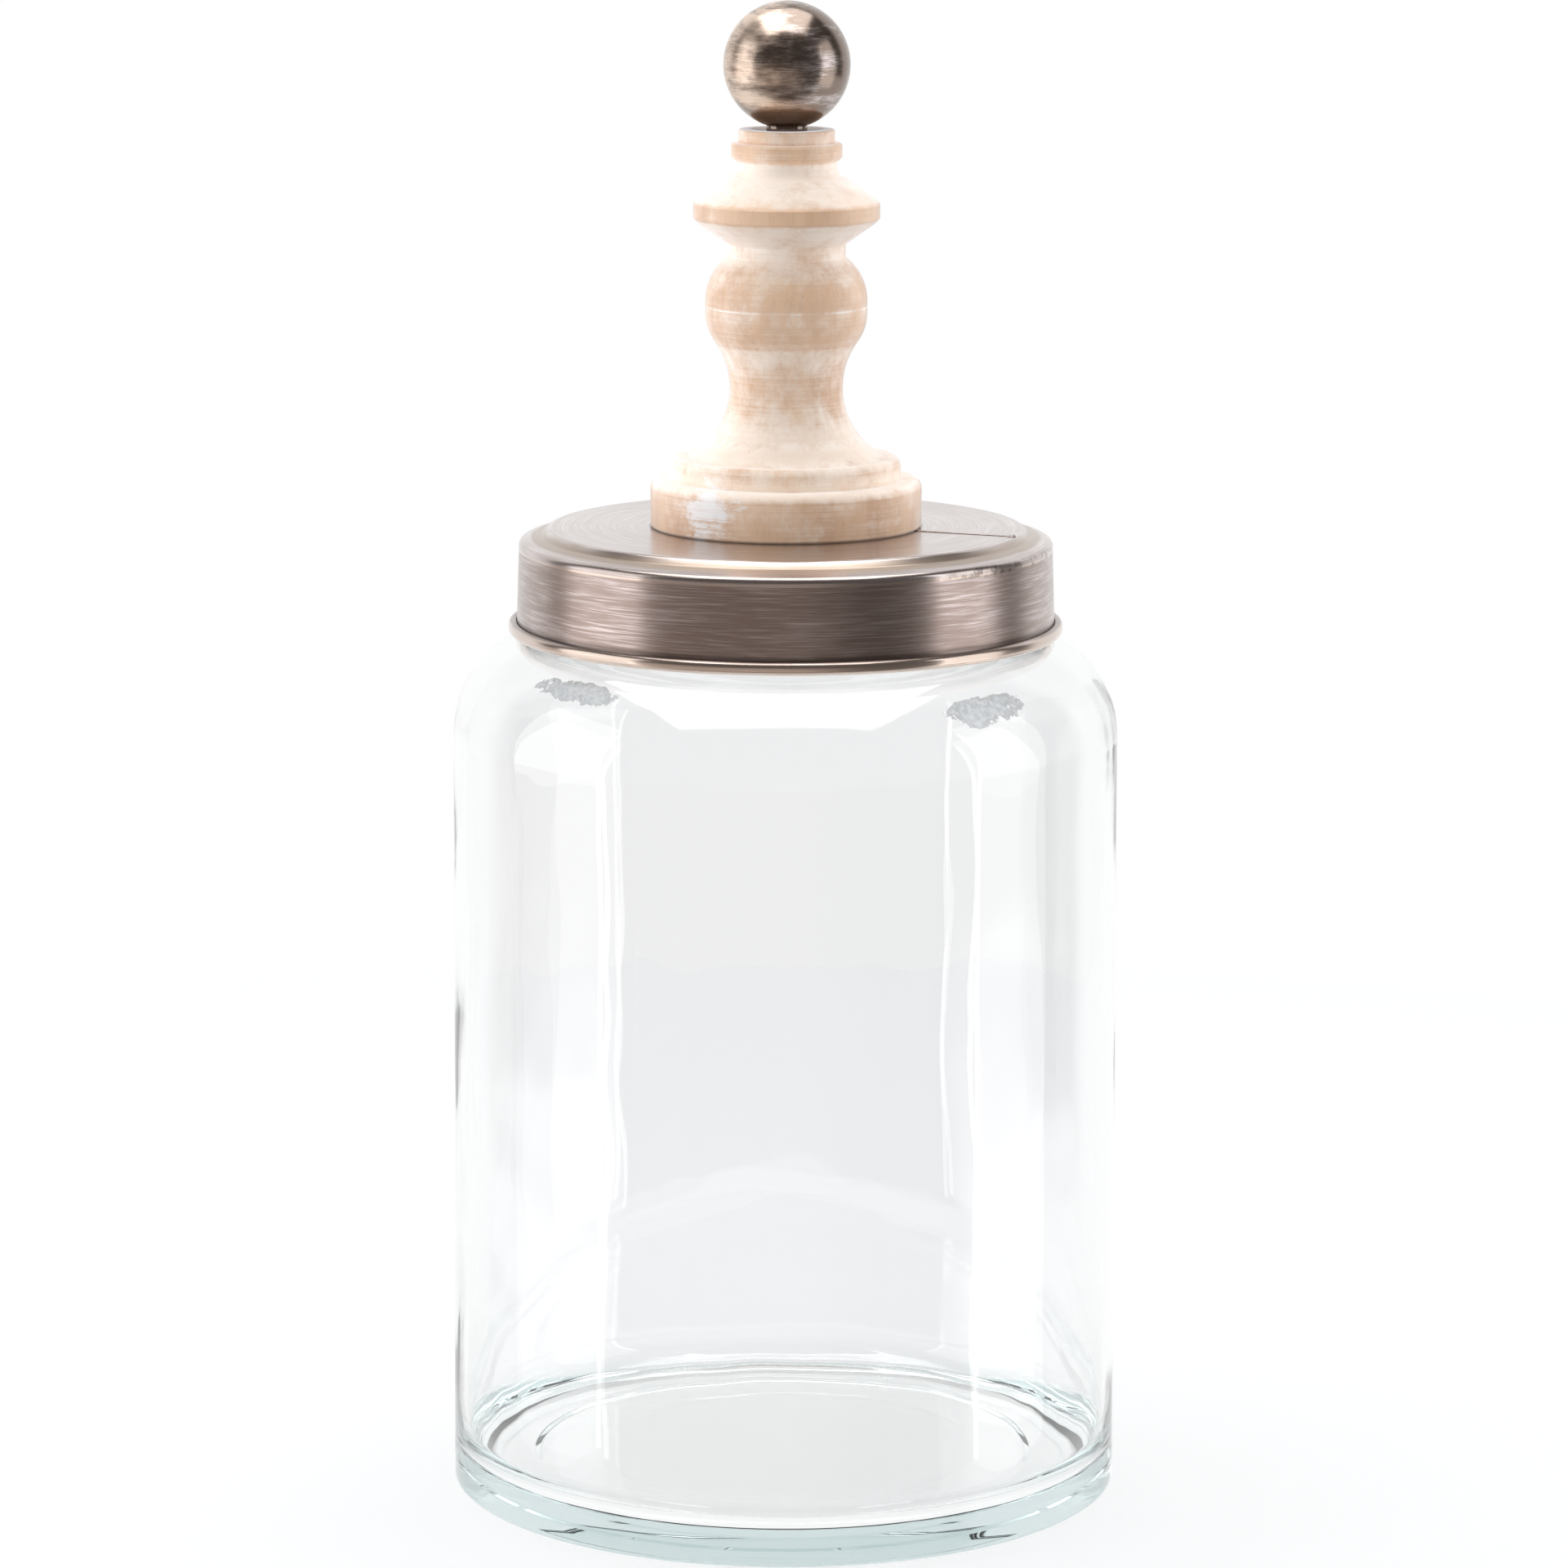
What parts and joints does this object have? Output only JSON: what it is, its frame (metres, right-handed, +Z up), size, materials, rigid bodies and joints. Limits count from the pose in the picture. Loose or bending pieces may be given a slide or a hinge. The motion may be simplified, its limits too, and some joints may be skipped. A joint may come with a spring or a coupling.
{
  "type": "specimen_jar",
  "caption": "Clear glass jar with a brushed antique-brass slip lid and a turned whitewashed wooden finial that carries a metal ball",
  "frame": {"origin": "centre of the jar's base, on the surface that it stands on", "axes": "+Z up along the jar's axis, -Y towards the viewer, +X to the right"},
  "size_m": [0.1656, 0.1656, 0.3674],
  "materials": {
    "glass": "clear blown soda-lime glass",
    "seal": "matt translucent",
    "lid_sheet": "antiqued, brushed round the band",
    "wood": "pale, limed and left matt",
    "dark_metal": "darkened and burnished",
    "fastener_steel": "zinc plated"
  },
  "bodies": {
    "jar": {"glass_jar": "glass"},
    "seal": {"lid_seal": "seal"},
    "lid": {"lid_top": "lid_sheet", "lid_band": "lid_sheet", "finial_body": "wood", "ball_collar": "dark_metal", "ball": "dark_metal", "tie_rod": "fastener_steel", "clamp_washer": "fastener_steel", "lock_washer": "fastener_steel", "hex_nut": "fastener_steel"}
  },
  "joints": [
    {"name": "lid_lift", "type": "slide", "parent": "jar", "child": "seal", "axis": [0, 0, 1], "range_m": [0, 0.12]},
    {"name": "lid_turn", "type": "hinge", "parent": "seal", "child": "lid", "pos_m": [0, 0, 0.235], "axis": [0, 0, 1], "continuous": true}
  ]
}
